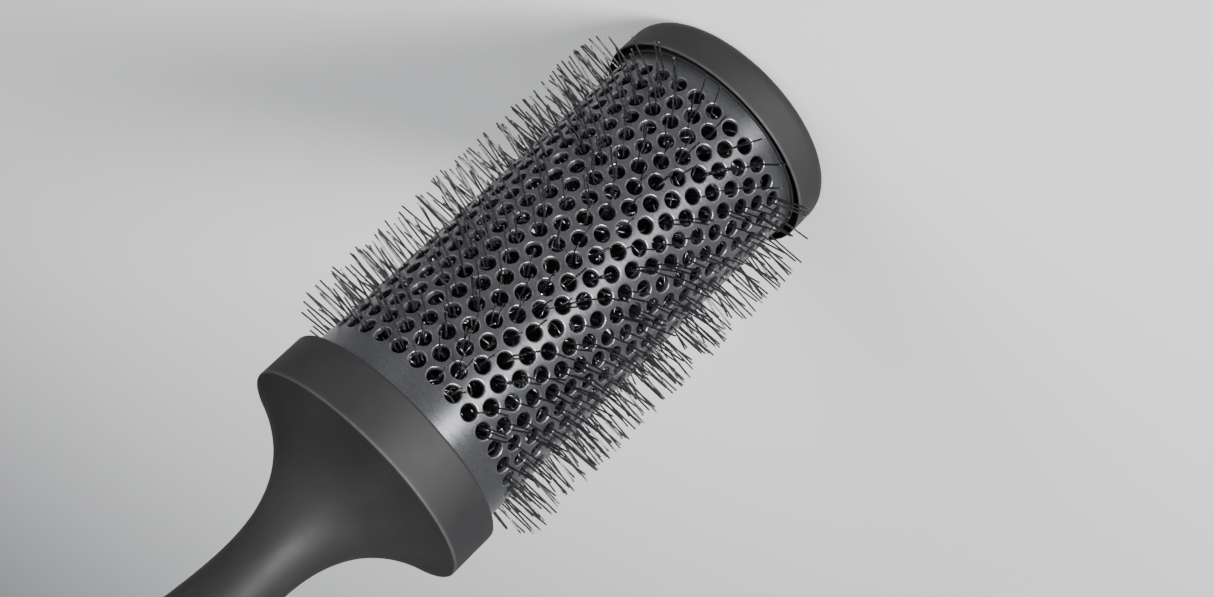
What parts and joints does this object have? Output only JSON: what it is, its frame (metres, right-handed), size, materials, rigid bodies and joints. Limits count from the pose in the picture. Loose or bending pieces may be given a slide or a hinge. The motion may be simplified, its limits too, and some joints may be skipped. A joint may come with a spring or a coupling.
{
  "type": "round barrel brush",
  "caption": "Round hair brush with a vented metal barrel, nylon bristles, a soft-touch end cap and a bell-shaped handle.",
  "frame": {"origin": "centre of the end cap's flat outer face, on which the brush stands", "axes": "+Z along the barrel's axis from the end cap towards the handle's tail; +X through the middle of the first bristle row"},
  "size_m": [0.0759, 0.076, 0.255],
  "materials": {
    "soft_touch": "matte soft-touch coating",
    "rigid_plastic": "matte moulded plastic",
    "ceramic_metal": "satin charcoal ceramic coating on aluminium",
    "nylon": "glossy black nylon",
    "core_wire": "bright drawn steel wire",
    "ferrule": "crimped aluminium sleeve"
  },
  "bodies": {
    "root": {"handle_core": "rigid_plastic", "handle_skin": "soft_touch", "barrel_tube": "ceramic_metal", "end_cap": "soft_touch", "cap_plug": "rigid_plastic", "core_wire_a": "core_wire", "core_wire_b": "core_wire", "handle_ferrule": "ferrule", "cap_ferrule": "ferrule", "bristle_row_01": "nylon", "bristle_row_02": "nylon", "bristle_row_03": "nylon", "bristle_row_04": "nylon", "bristle_row_05": "nylon", "bristle_row_06": "nylon", "bristle_row_07": "nylon", "bristle_row_08": "nylon", "bristle_row_09": "nylon", "bristle_row_10": "nylon", "bristle_row_11": "nylon", "bristle_row_12": "nylon", "bristle_row_13": "nylon", "bristle_row_14": "nylon", "bristle_row_15": "nylon", "bristle_row_16": "nylon", "bristle_row_17": "nylon", "bristle_row_18": "nylon", "bristle_row_19": "nylon", "bristle_row_20": "nylon", "bristle_row_21": "nylon", "bristle_row_22": "nylon", "bristle_row_23": "nylon", "bristle_row_24": "nylon", "bristle_row_25": "nylon", "bristle_row_26": "nylon", "bristle_row_27": "nylon", "bristle_row_28": "nylon", "bristle_row_29": "nylon", "bristle_row_30": "nylon", "bristle_row_31": "nylon", "bristle_row_32": "nylon"}
  },
  "joints": []
}
